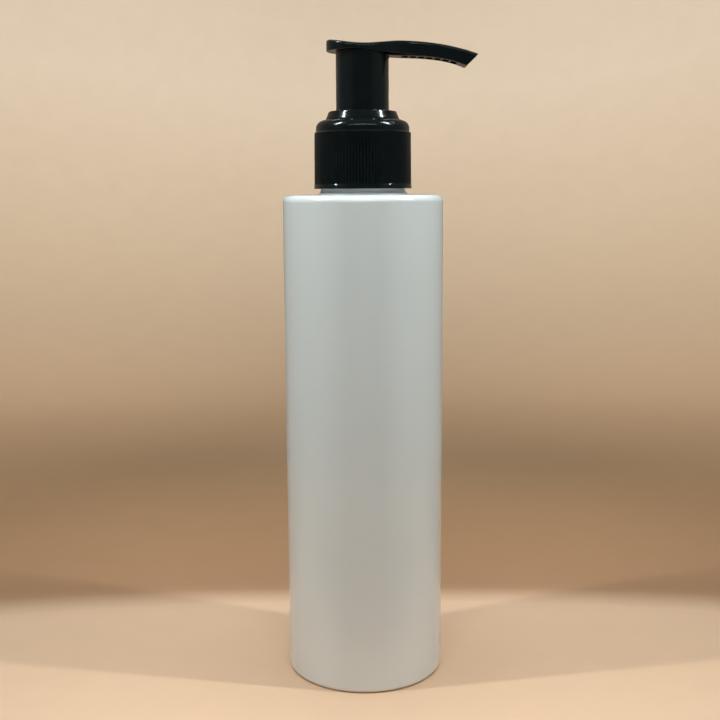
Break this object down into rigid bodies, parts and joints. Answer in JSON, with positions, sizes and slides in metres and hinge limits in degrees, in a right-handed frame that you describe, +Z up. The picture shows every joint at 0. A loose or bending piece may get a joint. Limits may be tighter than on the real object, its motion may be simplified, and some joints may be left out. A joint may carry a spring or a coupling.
{
  "type": "pump bottle",
  "caption": "Cylindrical shampoo bottle with a screw-on lotion pump: ribbed closure, press-down head with a drooping spout, and its spring, piston, valve and dip tube inside.",
  "frame": {"origin": "centre of the base, on the plane the bottle stands on", "axes": "+Z up along the bottle's axis; +X the way the spout points"},
  "size_m": [0.0561, 0.0464, 0.1862],
  "materials": {
    "white_plastic": "gloss",
    "black_plastic": "gloss",
    "natural_plastic": "satin",
    "piston_plastic": "satin",
    "gasket_foam": "matte",
    "spring_steel": "satin",
    "ball_glass": "gloss"
  },
  "bodies": {
    "bottle": {"bottle": "white_plastic"},
    "pump_body": {"pump_housing": "natural_plastic", "neck_gasket": "gasket_foam", "stem_collar": "black_plastic", "dip_tube": "natural_plastic", "return_spring": "spring_steel"},
    "closure": {"screw_closure": "black_plastic"},
    "plunger": {"lower_stem": "natural_plastic"},
    "head": {"actuator_head": "black_plastic", "piston_stem": "natural_plastic"},
    "piston": {"piston": "piston_plastic"},
    "inlet_ball": {"inlet_ball": "ball_glass"}
  },
  "joints": [
    {"name": "pump_lift", "type": "slide", "parent": "bottle", "child": "pump_body", "axis": [0, 0, 1], "range_m": [0, 0.00476]},
    {"name": "closure_turn", "type": "hinge", "parent": "pump_body", "child": "closure", "pos_m": [0, 0, 0.15], "axis": [0, 0, 1], "range_deg": [0, 540.01]},
    {"name": "head_press", "type": "slide", "parent": "pump_body", "child": "plunger", "axis": [0, 0, 1], "range_m": [-0.0135, 0], "stiffness_N_per_m": 700, "springref_m": 0.01, "deforming": ["return_spring"]},
    {"name": "head_turn", "type": "hinge", "parent": "plunger", "child": "head", "pos_m": [0, 0, 0.15], "axis": [0, 0, 1], "range_deg": [-90, 0]},
    {"name": "piston_slide", "type": "slide", "parent": "pump_body", "child": "piston", "axis": [0, 0, 1], "range_m": [-0.01256, 0]},
    {"name": "ball_lift", "type": "slide", "parent": "pump_body", "child": "inlet_ball", "axis": [0, 0, 1], "range_m": [0, 0.00095]}
  ],
  "couplings": [
    {"joint": "closure_turn", "follows": "pump_lift", "rad_per_m": 1979},
    {"joint": "piston_slide", "follows": "head_press", "ratio": 0.93}
  ]
}
